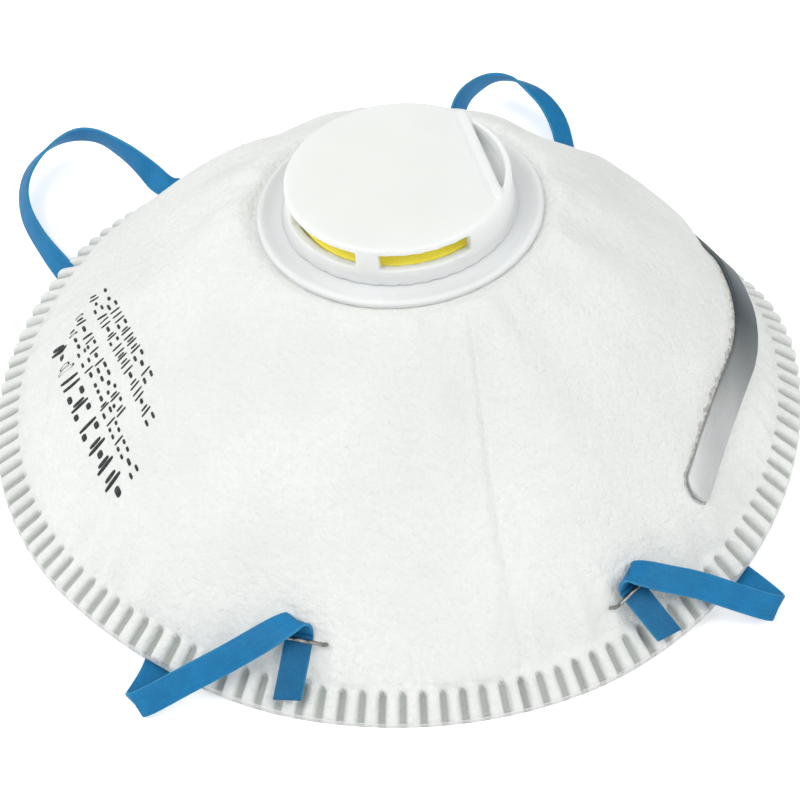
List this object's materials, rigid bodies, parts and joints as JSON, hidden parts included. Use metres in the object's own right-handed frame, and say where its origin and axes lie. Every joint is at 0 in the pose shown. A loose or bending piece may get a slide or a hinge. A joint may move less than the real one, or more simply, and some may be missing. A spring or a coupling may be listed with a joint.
{
  "type": "disposable dust mask",
  "caption": "Moulded cup dust mask with a crimped rim, a round exhalation valve, a metal nose clip and stapled elastic headbands.",
  "frame": {"origin": "centre of the footprint on the plane that the rim rests on", "axes": "+Z out of the front of the cup, +Y towards the nose, +X towards the wearer's left"},
  "size_m": [0.1545, 0.1416, 0.0552],
  "materials": {
    "cover_web": "white spunbonded polypropylene web, matt, fine crepe texture",
    "filter_media": "soft white melt-blown fibre, matt",
    "moulded_shell": "stiff thermoformed white fibre web, matt",
    "nose_metal": "soft rolled aluminium strip, brushed along its length",
    "adhesive": "translucent hot-melt adhesive",
    "foam": "soft grey-white polyurethane foam",
    "valve_plastic": "white moulded polypropylene, satin gloss",
    "flap_rubber": "yellow elastomer sheet, satin",
    "staple_wire": "plated steel wire",
    "headband_elastic": "blue synthetic elastic strip, fine grain"
  },
  "bodies": {
    "mask": {"outer_cover": "cover_web", "filter_layer": "filter_media", "inner_shell": "moulded_shell", "nose_clip": "nose_metal", "clip_adhesive": "adhesive", "nose_foam": "foam", "valve_seat": "valve_plastic", "valve_cap": "valve_plastic", "staples": "staple_wire", "lower_band_ends": "headband_elastic", "upper_band_ends": "headband_elastic", "lower_headband": "headband_elastic", "upper_headband": "headband_elastic"},
    "flap": {"valve_diaphragm": "flap_rubber"}
  },
  "joints": [
    {"name": "flap_lift", "type": "hinge", "parent": "mask", "child": "flap", "pos_m": [-0.00149, 0.01126, 0.0493], "axis": [-0.9917, -0.1284, -0.0099], "range_deg": [0, 6], "stiffness_Nm_per_rad": 0.0006}
  ]
}
